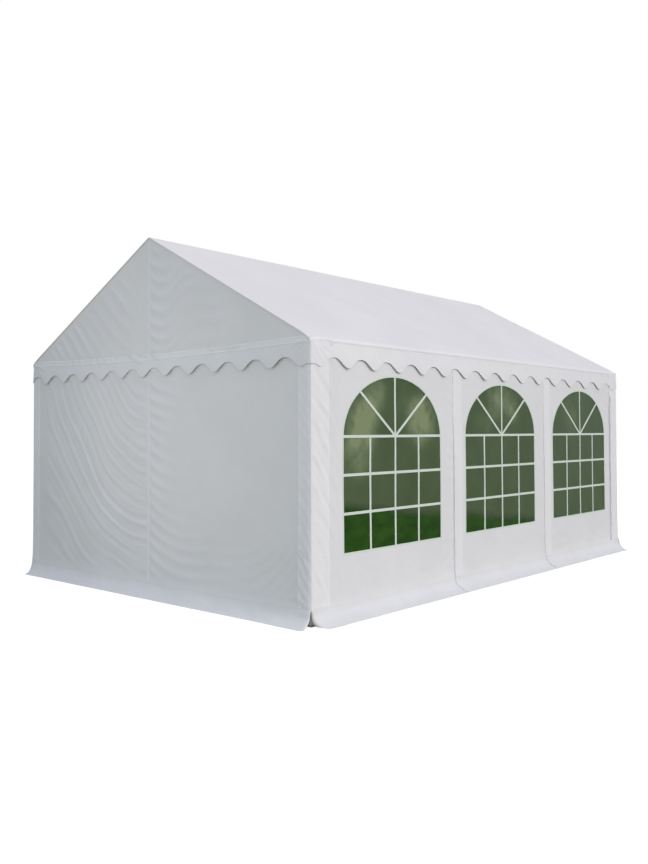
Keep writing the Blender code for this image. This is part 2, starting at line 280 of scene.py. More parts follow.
def add_piece(name, vertices, faces, flat, turn, material, sharp=45):
    """An object from vertices and faces made for the front right, and mirrored to its place by turn."""
    side, end = turn
    if side * end < 0:
        faces = [tuple(face)[::-1] for face in faces]
    mesh = bpy.data.meshes.new(name)
    places = (np.asarray(vertices) * (side, end, 1)).tolist()
    mesh.from_pydata(places, [], [tuple(map(int, face)) for face in faces])
    layer = mesh.uv_layers.new(name="flat")
    index = np.zeros(len(mesh.loops), np.int32)
    mesh.loops.foreach_get("vertex_index", index)
    layer.data.foreach_set("uv", np.asarray(flat, np.float32)[index].ravel())
    mesh.shade_smooth()
    mesh.set_sharp_from_angle(angle=math.radians(sharp))
    mesh.materials.append(material)
    obj = bpy.data.objects.new(name, mesh)
    bpy.context.scene.collection.objects.link(obj)
    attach(obj, "root")
    return obj


def add_shell(name, shape, place, thickness, turn, material):
    """A sheet of some thickness under the surface on which place lays the points of a flat shape."""
    points, triangles = shape
    outer = place(points[:, 0], points[:, 1])
    inner = outer - vertex_normals(outer, triangles) * thickness
    count = len(outer)
    sides = {}
    for a, b, c in triangles.tolist():
        for pair in ((a, b), (b, c), (c, a)):
            sides[pair] = True
    rim = [(b, a, a + count, b + count) for a, b in sides if (b, a) not in sides]
    faces = triangles.tolist() + (triangles[:, ::-1] + count).tolist() + rim
    vertices, flat = np.vstack((outer, inner)), np.vstack((points, points))
    return add_piece(name, vertices, faces, flat, turn, material)


def lifted(place, u, v, height):
    """Points on a surface, raised off it along its normal."""
    height = np.broadcast_to(height, u.shape)
    step = 0.002
    along = place(u + step, v) - place(u - step, v)
    up = place(u, v + step) - place(u, v - step)
    normal = np.cross(along, up)
    normal /= np.linalg.norm(normal, axis=1, keepdims=True)
    return place(u, v) + normal * np.reshape(height, (-1, 1))


def raised(place, height):
    """The same surface, moved out along its normal."""
    return lambda u, v: lifted(place, u, v, height)


def tucked_in(place, foot):
    """The same surface for a second layer of cloth, which runs out into the first one at its foot."""
    return lambda u, v: lifted(place, u, v, 0.0024 * ramp(v, foot, foot + 0.035) - 0.0012)


def add_tape(name, place, path, section, turn, material, swell=None):
    """A strip along a path on a sheet. Its section is a ring of points: across the path, and off the sheet.

    Swell gives how much of that height the strip has at a place on the sheet.
    """
    path = np.array(path, float)
    along = np.gradient(path, axis=0)
    along /= np.linalg.norm(along, axis=1, keepdims=True)
    across = np.stack((along[:, 1], -along[:, 0]), axis=1)
    rings, flats = [], []
    for offset, height in section:
        flat = path + across * offset
        flats.append(flat)
        share = swell(*flat.T) if swell and height > 0.001 else 1.0
        rings.append(lifted(place, flat[:, 0], flat[:, 1], 0.001 + (height - 0.001) * share))
    n, k = len(path), len(section)
    vertices = np.stack(rings, axis=1).reshape(-1, 3)
    flat = np.stack(flats, axis=1).reshape(-1, 2)
    faces = [(i * k + j, i * k + (j + 1) % k, (i + 1) * k + (j + 1) % k, (i + 1) * k + j)
             for i in range(n - 1) for j in range(k)]
    faces += [tuple(range(k))[::-1], tuple(range((n - 1) * k, n * k))]
    return add_piece(name, vertices, faces, flat, turn, material, sharp=60)


SUNK = -0.0006  # under sides of tapes lie just inside the cloth that carries them


def weld_section(width, height):
    """A flat weld with soft edges."""
    half = width / 2
    return [(-half, SUNK), (half, SUNK), (half, 0.0004), (half * 0.4, height), (-half * 0.4, height),
            (-half, 0.0004)]


def lap_section(width, height, steps=5):
    """The lap of one panel over the next: its free edge stands off the cloth, and the rest comes down."""
    top = [(width * i / steps, height * (1 - i / steps) ** 2 + 0.0012) for i in range(steps, 0, -1)]
    return [(0.002, SUNK), (width, SUNK), *top, (0.0015, height), (0.0, height * 0.85)]


def straight(start, end, step=0.03):
    count = max(2, math.ceil(math.dist(start, end) / step))
    return [tuple(a + (b - a) * i / count for a, b in zip(start, end)) for i in range(count + 1)]


# Materials

def new_material(name):
    material = bpy.data.materials.new(name)
    material.use_nodes = True
    tree = material.node_tree
    tree.nodes.clear()
    shader = add_node(tree, "BsdfPrincipled")
    add_node(tree, "OutputMaterial", {"Surface": shader.outputs["BSDF"]})
    return material, tree, shader


def set_inputs(tree, node, inputs):
    """A node's inputs are values, or the sockets that feed them."""
    for key, value in inputs.items():
        if isinstance(value, bpy.types.NodeSocket):
            tree.links.new(value, node.inputs[key])
        else:
            node.inputs[key].default_value = value


def add_node(tree, kind, inputs=None, **settings):
    node = tree.nodes.new(f"ShaderNode{kind}")
    for key, value in settings.items():
        setattr(node, key, value)
    set_inputs(tree, node, inputs or {})
    return node


def add_noise(tree, vector, scale, detail=3.0, roughness=0.5):
    inputs = {"Vector": vector, "Scale": scale, "Detail": detail, "Roughness": roughness}
    return add_node(tree, "TexNoise", inputs).outputs["Fac"]


def add_range(tree, value, low, high, to_low, to_high):
    inputs = {"Value": value, "From Min": low, "From Max": high, "To Min": to_low, "To Max": to_high}
    return add_node(tree, "MapRange", inputs).outputs["Result"]


def add_math(tree, operation, a, b=0.5):
    return add_node(tree, "Math", {0: a, 1: b}, operation=operation).outputs["Value"]


def add_mix(tree, factor, a, b):
    return add_node(tree, "Mix", {0: factor, 6: a, 7: b}, data_type="RGBA").outputs[2]


def add_bump(tree, strength, distance, height, **more):
    inputs = {"Strength": strength, "Distance": distance, "Height": height, **more}
    return add_node(tree, "Bump", inputs).outputs["Normal"]


def add_ramp(tree, value, stops):
    node = add_node(tree, "ValToRGB", {"Fac": value})
    while len(node.color_ramp.elements) < len(stops):
        node.color_ramp.elements.new(0.5)
    for element, (position, color) in zip(node.color_ramp.elements, stops):
        element.position = position
        element.color = (*color, 1.0)
    return node.outputs["Color"]


def scaled(tree, vector, scale):
    return add_node(tree, "Mapping", {"Vector": vector, "Scale": scale}).outputs["Vector"]


def pvc_material(name, white, crumple=0.45):
    """Coated polyester: a satin skin over a fine woven scrim, a little mottled, creased and rubbed."""
    material, tree, shader = new_material(name)
    place = add_node(tree, "TexCoord").outputs["Object"]
    flat = add_node(tree, "UVMap", uv_map="flat").outputs["UV"]
    mottle = add_noise(tree, place, 1.7, 5.0, 0.55)
    deep = tuple(part * 0.965 for part in white)
    color = add_mix(tree, add_range(tree, mottle, 0.35, 0.65, 0.0, 1.0), (*deep, 1.0), (*white, 1.0))
    rubbed = add_noise(tree, scaled(tree, flat, (14.0, 5.0, 1.0)), 2.0, 6.0, 0.7)
    color = add_mix(tree, add_range(tree, rubbed, 0.55, 0.85, 0.0, 0.10), color, (0.55, 0.57, 0.60, 1.0))
    weave_inputs = {"Vector": flat, "Scale": 150.0, "Distortion": 0.4, "Detail": 1.0, "Detail Scale": 1.0}
    warp = add_node(tree, "TexWave", weave_inputs, bands_direction="X").outputs["Fac"]
    weft = add_node(tree, "TexWave", weave_inputs, bands_direction="Y").outputs["Fac"]
    weave = add_math(tree, "MAXIMUM", warp, weft)
    creases = add_noise(tree, place, 9.0, 5.0, 0.6)
    fine = add_bump(tree, 0.25, 0.0003, weave)
    broad = add_bump(tree, crumple, 0.006, creases, Normal=fine)
    roughness = add_range(tree, mottle, 0.3, 0.7, 0.42, 0.54)
    set_inputs(tree, shader, {"Base Color": color, "Normal": broad, "Roughness": roughness,
                              "Specular IOR Level": 0.35})
    return material


# A painted reflection of the sky on a film: a soft pale spot at y, z, fading out at size.
def add_sky_reflection(tree, flattened, y, z, size, strength):
    gap = add_node(tree, "VectorMath", {0: flattened, 1: (0.0, y, z)}, operation="DISTANCE").outputs["Value"]
    node = add_node(tree, "MapRange", {"Value": gap, "From Min": size, "From Max": 0.0, "To Min": 0.0,
                                       "To Max": strength}, interpolation_type="SMOOTHSTEP")
    return node.outputs["Result"]


def film_material():
    """Window film: a glossy dark olive tint, cloudy, with painted sky reflections as pale patches above, and
    a painted lawn seen through it at its foot, edged by a painted shadow line.
    """
    material, tree, shader = new_material("window_film")
    place = add_node(tree, "TexCoord").outputs["Object"]
    axes = add_node(tree, "SeparateXYZ", {"Vector": place})
    height = axes.outputs["Z"]
    flattened = scaled(tree, place, (0.0, 1.0, 1.0))
    cloudy = add_noise(tree, scaled(tree, place, (1.0, 1.0, 0.8)), 3.2, 4.0, 0.55)
    tone = add_range(tree, cloudy, 0.35, 0.65, 0.10, 0.30)
    patchy = add_range(tree, add_noise(tree, place, 7.0, 3.0, 0.5), 0.3, 0.7, 0.6, 1.4)
    # Painted reflections of the sky: pale spots added to the film's tone.
    for patch in SKY_REFLECTIONS:
        pale = add_math(tree, "MULTIPLY", add_sky_reflection(tree, flattened, *patch), patchy)
        tone = add_math(tree, "ADD", tone, pale)
    color = add_ramp(tree, tone, [(0.0, (0.064, 0.098, 0.042)), (0.35, (0.088, 0.130, 0.062)),
                                  (0.70, (0.156, 0.202, 0.106)), (1.0, (0.232, 0.284, 0.150))])
    # Painted lawn seen through the film: below a horizon that sits lower further back, the lawn's green, with
    # a painted shadow line just above it.
    level = add_math(tree, "ADD", add_math(tree, "MULTIPLY", axes.outputs["Y"], -0.10), 0.62)
    edge = add_math(tree, "ADD", level, add_range(tree, cloudy, 0.3, 0.7, -0.03, 0.03))
    below = add_math(tree, "SUBTRACT", edge, height)
    # Painted shadow line along the lawn's horizon.
    painted_horizon_shade = add_math(tree, "MULTIPLY", add_range(tree, below, -0.07, 0.0, 0.0, 0.5),
                         add_range(tree, below, 0.0, 0.03, 1.0, 0.0))
    color = add_mix(tree, painted_horizon_shade, color, (0.020, 0.034, 0.016, 1.0))
    # The painted lawn: green below the horizon, in soft streaks.
    foot = add_range(tree, below, -0.015, 0.02, 0.0, 1.0)
    streaks = add_noise(tree, scaled(tree, place, (1.0, 1.0, 2.5)), 4.0, 4.0, 0.55)
    green = add_ramp(tree, streaks, [(0.35, (0.013, 0.053, 0.004)), (0.65, (0.027, 0.086, 0.008))])
    color = add_mix(tree, foot, color, green)
    ripple = add_noise(tree, place, 2.5, 2.0, 0.5)
    roughness = add_range(tree, cloudy, 0.3, 0.7, 0.07, 0.16)
    set_inputs(tree, shader, {"Base Color": color, "Roughness": roughness,
                              "Normal": add_bump(tree, 0.5, 0.01, ripple),
                              "Specular IOR Level": 0.12, "Alpha": 0.985})
    return material


def bar_material():
    """The bars and borders of the windows: white vinyl with a faint green cast."""
    material, tree, shader = new_material("window_bars")
    place = add_node(tree, "TexCoord").outputs["Object"]
    tone = add_noise(tree, place, 6.0, 4.0, 0.6)
    color = add_mix(tree, tone, (0.66, 0.74, 0.65, 1.0), (0.76, 0.83, 0.74, 1.0))
    grain = add_noise(tree, place, 180.0, 2.0, 0.5)
    set_inputs(tree, shader, {"Base Color": color, "Normal": add_bump(tree, 0.15, 0.0004, grain),
                              "Roughness": add_range(tree, tone, 0.3, 0.7, 0.34, 0.46)})
    return material


def steel_material():
    """Hot-dip galvanised tube: a grey spangle with dull and bright flakes."""
    material, tree, shader = new_material("galvanised_steel")
    place = add_node(tree, "TexCoord").outputs["Object"]
    flakes = add_node(tree, "TexVoronoi", {"Vector": place, "Scale": 90.0}).outputs["Color"]
    flake = add_node(tree, "SeparateColor", {"Color": flakes}).outputs["Red"]
    stain = add_noise(tree, place, 6.0, 5.0, 0.6)
    color = add_mix(tree, flake, (0.50, 0.51, 0.52, 1.0), (0.66, 0.67, 0.68, 1.0))
    color = add_mix(tree, add_range(tree, stain, 0.5, 0.8, 0.0, 0.4), color, (0.40, 0.40, 0.39, 1.0))
    set_inputs(tree, shader, {"Base Color": color, "Normal": add_bump(tree, 0.2, 0.0005, flake),
                              "Roughness": add_range(tree, flake, 0.0, 1.0, 0.32, 0.5), "Metallic": 0.9})
    return material


ROOF_PVC = pvc_material("roof_pvc", (0.85, 0.814, 0.790))
VALANCE_PVC = pvc_material("valance_pvc", (0.845, 0.845, 0.85))
WALL_PVC = pvc_material("wall_pvc", (0.81, 0.81, 0.81))
STRIP_PVC = pvc_material("strip_pvc", (0.87, 0.87, 0.875), 0.9)
SKIRT_PVC = pvc_material("skirt_pvc", (0.77, 0.77, 0.77), 0.7)
WELD_PVC = pvc_material("weld_pvc", (0.865, 0.865, 0.865))
TAPE = pvc_material("seam_tape", (0.90, 0.90, 0.90))
BARS = bar_material()
WINDOW = film_material()
STEEL = steel_material()


# Roof and valances

def eave_start(lift, radius):
    """Height at which cloth over the eave starts to bend."""
    return EAVE_Z - (radius - lift) * (1 - math.sin(SLOPE)) / math.cos(SLOPE)


def over_eave(v, lift, radius):
    """Across the right eave: x, z and the normal's angle from upright, for cloth a lift off the tube's axis.

    Below v = 0 it hangs straight down. From there it bends over the eave, and then runs up the slope.
    """
    middle_x = EAVE_X - (radius - lift)
    middle_z = eave_start(lift, radius)
    bend = radius * (math.pi / 2 - SLOPE)
    turn = np.clip(v / radius, 0, math.pi / 2 - SLOPE)
    down = np.clip(v, None, 0)
    up = np.clip(v - bend, 0, None)
    x = middle_x + radius * np.cos(turn) - up * math.cos(SLOPE)
    z = middle_z + radius * np.sin(turn) + down + up * math.sin(SLOPE)
    return x, z, math.pi / 2 - turn


ROOF_BEND = EAVE_BEND - VALANCE_LIFT + ROOF_LIFT
BEND_SHARE = math.cos(SLOPE) - math.tan(SLOPE) * (1 - math.sin(SLOPE))
ROOF_SLOPE = SLOPE_LENGTH - (ROOF_BEND - ROOF_LIFT) * BEND_SHARE
ROOF_RIDGE = ROOF_LIFT * SLOPE
ROOF_REACH = ROOF_RIDGE + ROOF_SLOPE + ROOF_BEND * (math.pi / 2 - SLOPE)


def over_ridge(v):
    """The whole roof: v runs from the right lip, up over the ridge at v = 0, and down to the left lip."""
    distance = np.abs(v)
    x, z, angle = over_eave(ROOF_REACH - distance, ROOF_LIFT, ROOF_BEND)
    near = distance < ROOF_RIDGE
    top = distance / ROOF_LIFT
    x = np.where(near, ROOF_LIFT * np.sin(top), x)
    z = np.where(near, RIDGE_Z + ROOF_LIFT * np.cos(top), z)
    angle = np.where(near, top, angle)
    return -np.sign(v) * x, z, -np.sign(v) * angle


def bay_sag(y):
    """0 over each rafter and 1 midway between two of them."""
    pitch = RAFTER_Y[1] - RAFTER_Y[0]
    return np.abs(np.sin(np.pi * (np.clip(np.abs(y), 0, END_Y) + pitch / 2) / pitch)) ** 1.2


def roof_surface(u, v):
    """u runs along the tent and v across it. Past the gables the cloth turns down over their edges."""
    x, z, angle = over_ridge(v)
    along = np.clip(np.abs(v) / ROOF_SLOPE, 0, 1)
    slack = np.sin(np.pi * along)
    relief = -0.014 * bay_sag(u) * slack ** 0.7
    relief += 0.004 * cloud(u, v, 0.6, 3.1) * slack
    folds = crest((v + 0.35 * u) / 0.30 + 0.6 * cloud(u, v, 0.8, 5.5))
    relief += 0.0022 * folds * slack * (0.4 + 0.6 * bay_sag(u)) * (1 + cloud(u, v, 0.9, 1.2))
    past = np.clip(np.abs(u) - COVER_Y, 0, None)
    turn = np.clip(past / VERGE_RADIUS, 0, math.pi / 2)
    sunk = VERGE_RADIUS * (1 - np.cos(turn)) + np.clip(past - VERGE_RADIUS * math.pi / 2, 0, None)
    relief = relief * ramp(COVER_Y - np.abs(u), 0, 0.12) - sunk
    y = np.sign(u) * (np.clip(np.abs(u), 0, COVER_Y) + VERGE_RADIUS * np.sin(turn))
    return round_corners(np.stack((x + relief * np.sin(angle), y, z + relief * np.cos(angle)), axis=1))


def build_roof():
    slope_end = ROOF_RIDGE + ROOF_SLOPE
    half = spaced([ROOF_RIDGE, slope_end], 0.045)
    bend = spaced([slope_end, ROOF_REACH], 0.008)[1:]
    lip = spaced([ROOF_REACH, ROOF_REACH + EAVE_LIP], 0.02)[1:]
    right = half + bend + lip
    vs = [-v for v in right[::-1]] + [-ROOF_RIDGE / 2, 0.0, ROOF_RIDGE / 2] + right
    edge = spaced([COVER_Y, COVER_Y + VERGE_RADIUS * math.pi / 2], 0.0025)[1:] + [COVER_Y + VERGE_LIP]
    us = [-u for u in edge[::-1]] + spaced([-COVER_Y, COVER_Y], 0.04) + edge
    shape = grid_of(us, vs)
    roof = add_shell("roof_cover_cloth", shape, roof_surface, CLOTH, (1, 1), ROOF_PVC)
    for label, y in (("front", -LAP_Y), ("back", LAP_Y)):
        add_tape(f"roof_seam_{label}", roof_surface, straight((y, -slope_end), (y, slope_end)),
                              weld_section(0.04, 0.0018), (1, 1), ROOF_PVC)
    for label, way in (("left", 1), ("right", -1)):
        hem, end = way * (ROOF_REACH - 0.014), COVER_Y - 0.006
        add_tape(f"roof_hem_{label}", roof_surface, straight((-end, hem), (end, hem)),
                              weld_section(0.028, 0.0010), (1, 1), VALANCE_PVC)
    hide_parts("roof_cover")


def waves_in(way, scallops):
    """Number of waves in a way along an edge, counted from its first low point on."""
    first, pitch, growth = scallops
    past = way - first
    return 2 * past / (pitch + np.sqrt(pitch ** 2 + 4 * growth * past))


def scallop_edge(way, length, scallops, low):
    """Height of the wavy edge at a way along it, with narrow low points, and a small rise at the corners."""
    phase = waves_in(way, scallops)
    total = waves_in(length, scallops)
    lobe = (0.5 + 0.5 * np.cos(2 * np.pi * phase)) ** 1.3
    calm = (phase < 0) | ((phase > math.floor(total)) & (total % 1 < 0.5))
    rise = SCALLOP_DEPTH * (1 - lobe)
    return low + np.where(calm, np.minimum(rise, SCALLOP_CORNER_RISE), rise)


def flare_out(inward, drop, depth, most, lively):
    """How far a valance stands out: most at its lower edge, and less at the corners."""
    part = np.clip(drop / depth, 0, 1)
    share = part ** 1.5 * (2.5 - 1.5 * part)
    level = ramp(inward, 0.0, 0.25)
    return share * (CORNER_FLARE + (most * lively - CORNER_FLARE) * level)


def corner_pull(across, drop):
    """Wrinkles that fan out from the upper corner of a valance."""
    angle = np.arctan2(drop + 0.01, across + 0.001)
    radius = np.hypot(across, drop)
    return crest(angle * 3.4) * bell(radius - 0.13, 0.11) * ramp(radius, 0.02, 0.08)


VALANCE_TOP = eave_start(VALANCE_LIFT, EAVE_BEND)


def valance_surface(u, v):
    """u is y and v runs up, on the right. Past its ends the cloth turns in under the gables."""
    x, z, angle = over_eave(v, VALANCE_LIFT, EAVE_BEND)
    depth = VALANCE_TOP - SCALLOP_LOW
    drop = np.clip(-v, 0, None)
    tucked = np.clip(np.abs(u) - COVER_Y, 0, None)
    inward = np.clip(COVER_Y - np.abs(u), 0, None)
    below = ramp(drop, EAVE_LIP, EAVE_LIP + 0.03)
    wave = 0.08 * np.cos(2 * np.pi * waves_in(np.clip(COVER_Y + u, 0, None), SIDE_SCALLOPS))
    near = 1.1 - 0.4 * ramp(u, -COVER_Y, COVER_Y)
    out = flare_out(inward, drop, depth, SIDE_FLARE * near, 1 + wave + 0.5 * cloud(u, v, 0.45, 8.2))
    relief = 0.008 * corner_pull(inward, drop) * ramp(inward, 0.0, 0.06)
    relief += 0.0030 * cloud(u, v, 0.13, 1.7) * ramp(inward, 0.0, 0.1)
    relief += 0.0010 * crest((u + 0.5 * v) / 0.11 + 0.8 * cloud(u, v, 0.3, 2.6)) * ramp(inward, 0.0, 0.1)
    under = flare_out(0.0, drop, depth, 0.0, 1) - CLOTH - 0.0007
    y = np.sign(u) * (np.minimum(np.abs(u), COVER_Y) + under * ramp(-inward, -0.03, 0.0))
    return round_corners(np.stack((x + out + relief * below - tucked, y, z), axis=1))


def build_valances():
    half, depth = COVER_Y, VALANCE_TOP - SCALLOP_LOW
    ends = half + VALANCE_TUCK
    top = EAVE_BEND * (math.pi / 2 - SLOPE) + VALANCE_LAP
    us = spaced([-ends, -half, half, ends], 0.014)
    ways = np.clip(np.array(us) + half, 0, 2 * half)
    edge = list(zip(us, scallop_edge(ways, 2 * half, SIDE_SCALLOPS, -depth)))
    shape = fill(edge + [(ends, top), (-ends, top)], step=0.02)
    for label, side in SIDES:
        name = f"valance_{label}"
        cloth = add_shell(f"{name}_cloth", shape, valance_surface, CLOTH, (side, 1), VALANCE_PVC)
        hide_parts(name)


# Gables

def hem_height(x):
    """The seam between a gable's triangle and its valance, which sags a little."""
    return EAVE_Z + 0.012 - HEM_SAG * (1 - (x / COVER_X) ** 2)


def gable_surface(u, v):
    """On the front, u is x and v is z. Drapes run down from the left rake, swags hang right of the seam."""
    wander = cloud(u, v, 0.4, 2.3)
    strength = 0.7 + 0.6 * cloud(u, v, 0.5, 9.4)
    drop = hem_height(u) - v
    over_hem = ramp(-drop, 0.0, 0.12)
    under_rake = ramp(RIDGE_Z - np.abs(u) * math.tan(SLOPE) - v, 0.0, 0.08)
    left, right = np.clip(-u, 0, None), np.clip(u, 0, None)
    at_seam = v - 0.6 * left - 0.225 * left ** 2
    uneven = 0.75 + 0.9 * cloud(at_seam * 2, left * 0.6, 0.5, 3.7)
    drapes = crest(at_seam / 0.19 + 0.25 * wander) * uneven * (u < 0) * ramp(left, 0.12, 0.50)
    dip = 0.075 * np.sin(np.pi * np.clip(right / 0.42, 0, 1.5))
    arcs = crest((v + dip) / 0.13 + 0.6 * wander) * (u > 0) * ramp(right, 0.0, 0.05) * bell(right, 0.50)
    stray = crest((v - 0.35 * u) / 0.17 + 0.9 * wander) * (u > 0)
    stray = stray * ramp(right, 0.25, 0.6) * (1 - ramp(right, 0.9, 1.5))
    relief = (0.0065 * drapes + (0.0125 * arcs + 0.0055 * stray) * strength) * over_hem * under_rake
    relief += (0.004 * cloud(u, v, 0.75, 4.4) + 0.0013 * cloud(u, v, 0.12, 5.3)) * under_rake
    depth = hem_height(0.0) - SCALLOP_LOW
    inward = COVER_X - np.abs(u)
    wave = 0.08 * np.cos(2 * np.pi * waves_in(COVER_X - u, END_SCALLOPS))
    out = flare_out(inward, drop, depth, END_FLARE, 1 + wave + 0.5 * cloud(u, v, 0.45, 6.2))
    out += relief * ramp(inward, 0.0, 0.15)
    pull = corner_pull(inward, np.clip(drop, 0, None))
    out += 0.008 * pull * ramp(inward, 0.0, 0.06) * ramp(drop, -0.05, 0.02)
    out += 0.0028 * cloud(u, v, 0.13, 8.7) * ramp(inward, 0.0, 0.1) * ramp(drop, 0.0, 0.05)
    return round_corners(np.stack((u, -(COVER_Y + out), v), axis=1))


def build_gables():
    half = COVER_X
    us = np.append(np.arange(-half, half - 0.005, 0.014), half)
    edge = list(zip(us, scallop_edge(half - us, 2 * half, END_SCALLOPS, SCALLOP_LOW)))
    under_roof = (ROOF_LIFT - 0.004) / math.cos(SLOPE)
    shoulder = RIDGE_Z + under_roof - half * math.tan(SLOPE)
    shape = fill(edge + [(half, shoulder), (0.0, RIDGE_Z + under_roof), (-half, shoulder)], step=0.018)
    lines = (("band", HEM_WIDTH / 2, HEM_WIDTH, 0.0022, WELD_PVC),
             ("upper_weld", HEM_WIDTH - 0.007, 0.014, 0.0034, TAPE),
             ("lower_weld", 0.004, 0.012, 0.0028, TAPE))
    for label, end in ENDS:
        turn = (1, end)
        cloth = add_shell(f"gable_{label}_cloth", shape, gable_surface, CLOTH, turn, WALL_PVC)
        pieces = [add_tape(f"gable_{label}_seam", gable_surface,
                           straight((0.0, hem_height(0.0) + HEM_WIDTH / 2), (0.0, RIDGE_Z - 0.01)),
                           weld_section(0.024, 0.0028), turn, WELD_PVC)]
        for line, over, width, height, material in lines:
            along = np.linspace(-half + 0.004, half - 0.004, 160)
            path = [(u, hem_height(u) - HEM_WIDTH / 2 + over) for u in along]
            pieces.append(add_tape(f"gable_{label}_hem_{line}", gable_surface, path,
                                   weld_section(width, height), turn, material))
        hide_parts(f"gable_{label}")


# Walls

def foot_flare(z):
    """How far the cloth has come out from the wall's plane at a height."""
    return SKIRT_REACH * sum(share * np.exp(-z / height) for share, height in SPREADS)


def end_wall_surface(u, v):
    """On the front, u is x and v is z. Drapes hang from the upper left, swags start at the middle seam."""
    wander = cloud(u, v, 0.45, 1.3)
    strength = 0.7 + 0.6 * cloud(u, v, 0.6, 7.7)
    left, right = np.clip(-u, 0, None), np.clip(u, 0, None)
    at_seam = (v - 0.3 * left ** 2) / (1 + 0.5 * left ** 2)
    uneven = 0.75 + 0.6 * cloud(at_seam * 2, left * 0.7, 0.45, 7.7)
    within = (u < 0) * ramp(left, 0.0, 0.05) * (1 - ramp(left, 1.65, 1.8))
    drapes = crest(at_seam / 0.125 + 0.5 * wander) + 0.8 * crest(at_seam / 0.071 + 0.7 * wander)
    drapes = drapes * uneven * within
    puckers = crest(v / 0.105 - 0.8 * left + 0.4 * wander) * within * bell(left, 0.22)
    reach = 0.34 + 0.50 * (1 - ramp(v, 0.25, 0.8))
    swags = crest((v + 0.16 * (1 - np.exp(-right / 0.18))) / 0.125 + 0.45 * wander) * (u > 0)
    swags = swags * ramp(right, 0.0, 0.04) * bell(right, reach)
    lower = crest((v - 0.55 * (u - 0.9) ** 2) / 0.11 + 0.6 * wander)
    lower = lower * ramp(u, 0.9, 1.4) * (1 - ramp(v, 0.35, 0.8))
    past_strip = np.abs(u) - STRIP_X
    strips = (crest((v + 1.5 * past_strip) / 0.12 + 0.6 * wander)
              + 0.6 * crest((v + 1.9 * past_strip) / 0.067 + wander))
    strips = strips * ramp(past_strip, -0.05, 0.0) * (0.5 + 0.8 * (1 - ramp(v, 0.3, 1.1)))
    short = 0.005 * puckers + 0.0145 * swags + 0.0035 * lower + 0.0062 * strips
    relief = 0.0055 * drapes + short * strength
    relief += 0.006 * cloud(u, v, 0.8, 2.9) + 0.0018 * cloud(u, v, 0.12, 4.9)
    relief *= ramp(v, WALL_FOOT, 0.24)
    fold = (v - 0.133) + 0.36 * (u - 2.0)
    relief += (0.008 * bell(fold - 0.018, 0.012) - 0.003 * bell(fold + 0.006, 0.008)) * ramp(u, 1.78, 1.9)
    relief *= ramp(WALL_X - np.abs(u), 0.0, 0.04)
    spread = foot_flare(v)
    x = u + np.sign(u) * (spread + CLOTH) * ramp(np.abs(u), WALL_X - 0.2, WALL_X)
    return round_corners(np.stack((x, -(WALL_Y + CLOTH + relief + spread), v), axis=1))


def add_strip(name, place, low, high, turn):
    """A second layer of cloth beside a corner."""
    shape = rectangle(low, WALL_EDGE + 0.002, high, WALL_HEAD - 0.01, 0.02)
    return add_shell(name, shape, tucked_in(place, WALL_EDGE), 0.001, turn, STRIP_PVC)


def add_upright(name, place, across, section, turn, material, swell=None):
    """A seam from a wall's foot to its head."""
    path = straight((across, WALL_EDGE + 0.01), (across, WALL_HEAD - 0.02))
    return add_tape(name, place, path, section, turn, material, swell)


def build_end_walls():
    gap, place, seam = 0.0006, end_wall_surface, weld_section(0.02, 0.0022)
    halves = {"right": rectangle(gap, WALL_EDGE, WALL_X, WALL_HEAD, 0.022),
              "left": rectangle(-WALL_X, WALL_EDGE, -gap, WALL_HEAD, 0.022)}
    for end_label, end in ENDS:
        turn = (1, end)
        for label, side in SIDES:
            name = f"{end_label}_wall_{label}"
            cloth = add_shell(f"{name}_cloth", halves[label], place, CLOTH, turn, WALL_PVC)
            edges = sorted((side * STRIP_X, side * WALL_X))
            pieces = [add_strip(f"{name}_strip", place, *edges, turn),
                      add_upright(f"{name}_strip_seam", place, side * STRIP_X, seam, turn, TAPE)]
            if side > 0:
                pieces.append(add_upright(f"{end_label}_wall_zip_flap", place, 0.0,
                                          weld_section(0.026, 0.0028), turn, WELD_PVC))
            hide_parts(name)


def side_wall_surface(u, v):
    """u is y and v is z, on the right."""
    wander = cloud(u, v, 0.35, 3.3)
    strength = 0.7 + 0.7 * cloud(u, v, 0.5, 5.9)
    seam = np.min([np.abs(u - s) for s in (-LAP_Y, LAP_Y, FAR_SEAM_Y)], axis=0)
    pucker = crest((v + 0.25 * u) / 0.12 + 0.6 * wander) * bell(seam, 0.14)
    inward = WALL_Y - np.abs(u)
    strips = (crest((v + 2.1 * inward) / 0.30 + 0.5 * wander)
              + 0.7 * crest((v + 1.4 * inward) / 0.13 + 0.9 * wander))
    strips = strips * ramp(np.abs(u), STRIP_Y - 0.2, STRIP_Y)
    slant = crest((v - 0.35 * u) / 0.13 + 0.9 * wander) * (1 - ramp(v, 0.30, 0.55))
    relief = (0.0035 * pucker + 0.0080 * strips + 0.0022 * slant) * strength
    relief += 0.005 * cloud(u, v, 0.7, 5.1) + 0.0017 * cloud(u, v, 0.12, 2.1) * (1.6 - ramp(v, 0.3, 0.6))
    relief *= ramp(v, WALL_FOOT, 0.24) * ramp(WALL_Y - np.abs(u), 0.0, 0.05)
    spread = foot_flare(v)
    y = u + np.sign(u) * spread * ramp(np.abs(u), WALL_Y - 0.2, WALL_Y + CLOTH)
    return round_corners(np.stack((WALL_X + CLOTH + relief + spread, y, v), axis=1))


def arch(centre, half_width, sill, spring, rise, steps=36):
    points = [(centre - half_width, sill), (centre + half_width, sill)]
    for i in range(steps + 1):
        angle = math.pi * i / steps
        points.append((centre + half_width * math.cos(angle), spring + rise * math.sin(angle)))
    return points


